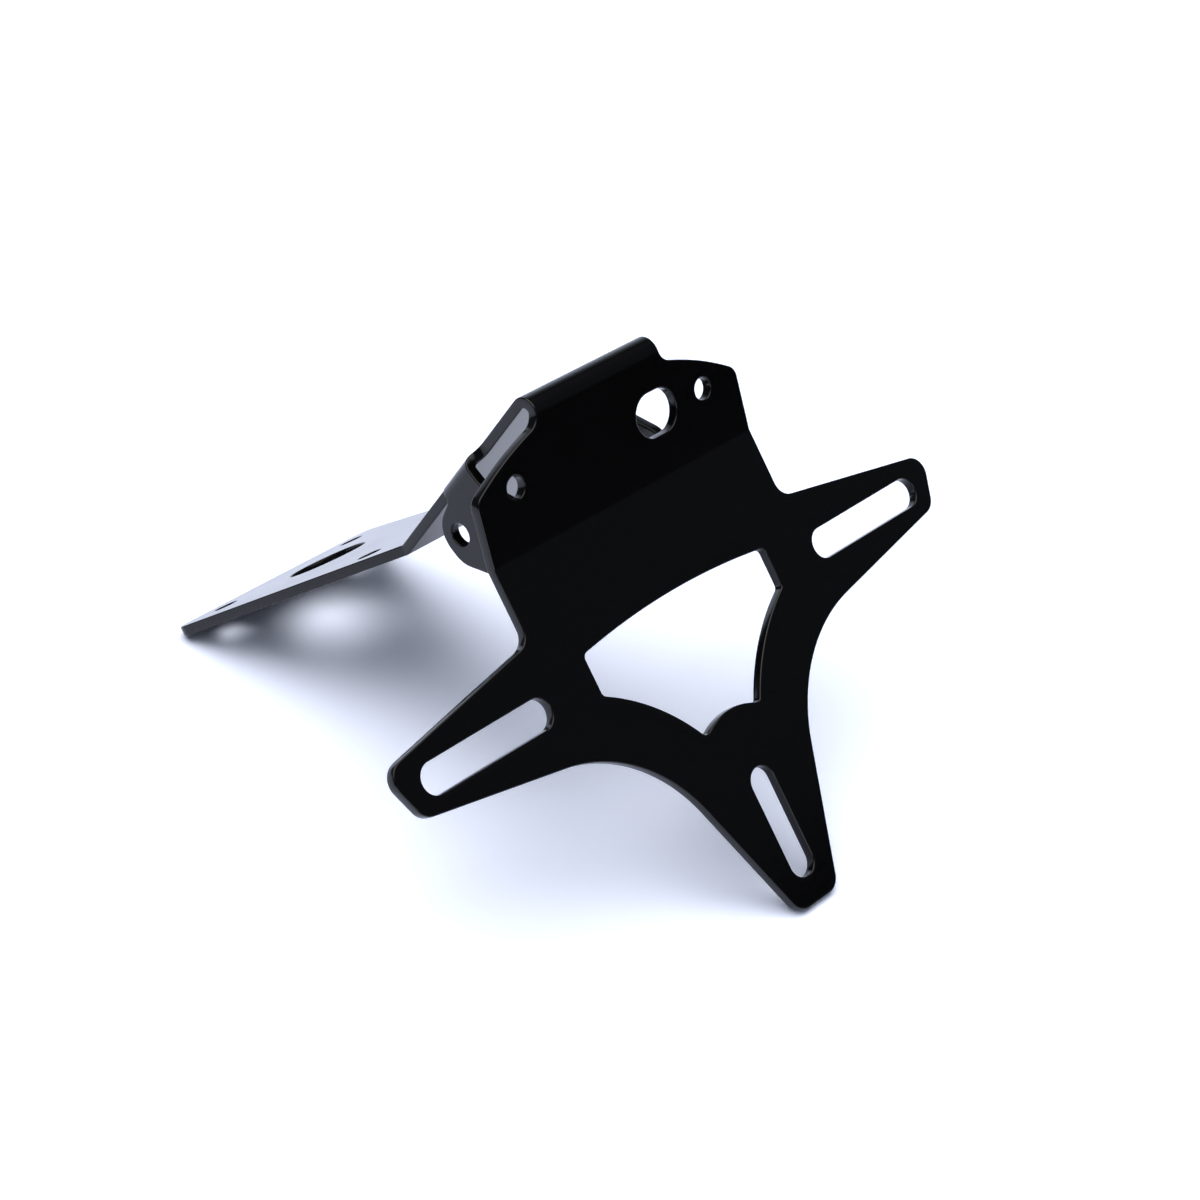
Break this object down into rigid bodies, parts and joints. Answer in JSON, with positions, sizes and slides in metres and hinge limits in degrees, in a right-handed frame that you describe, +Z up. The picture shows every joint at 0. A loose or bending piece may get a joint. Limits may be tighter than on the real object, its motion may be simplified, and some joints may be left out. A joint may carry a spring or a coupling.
{
  "type": "tail tidy",
  "caption": "Folded sheet tail tidy that carries a motorcycle's number plate on a slotted spider panel, with a light panel, indicator ears and a drilled mounting plate.",
  "frame": {"origin": "centre of the part's box in X and Y, on the floor it lies on in the picture", "axes": "+Z up as it lies on the tail's tip and the mounting plate's end; +X to the right of someone who faces the number plate panel; the number plate panel is on the -Y side and the mounting plate on the +Y side"},
  "size_m": [0.2094, 0.2112, 0.1249],
  "materials": {
    "black_coat": "satin black powder coat over sheet metal, smooth with a faint orange peel"
  },
  "bodies": {
    "root": {"bracket": "black_coat"}
  },
  "joints": []
}
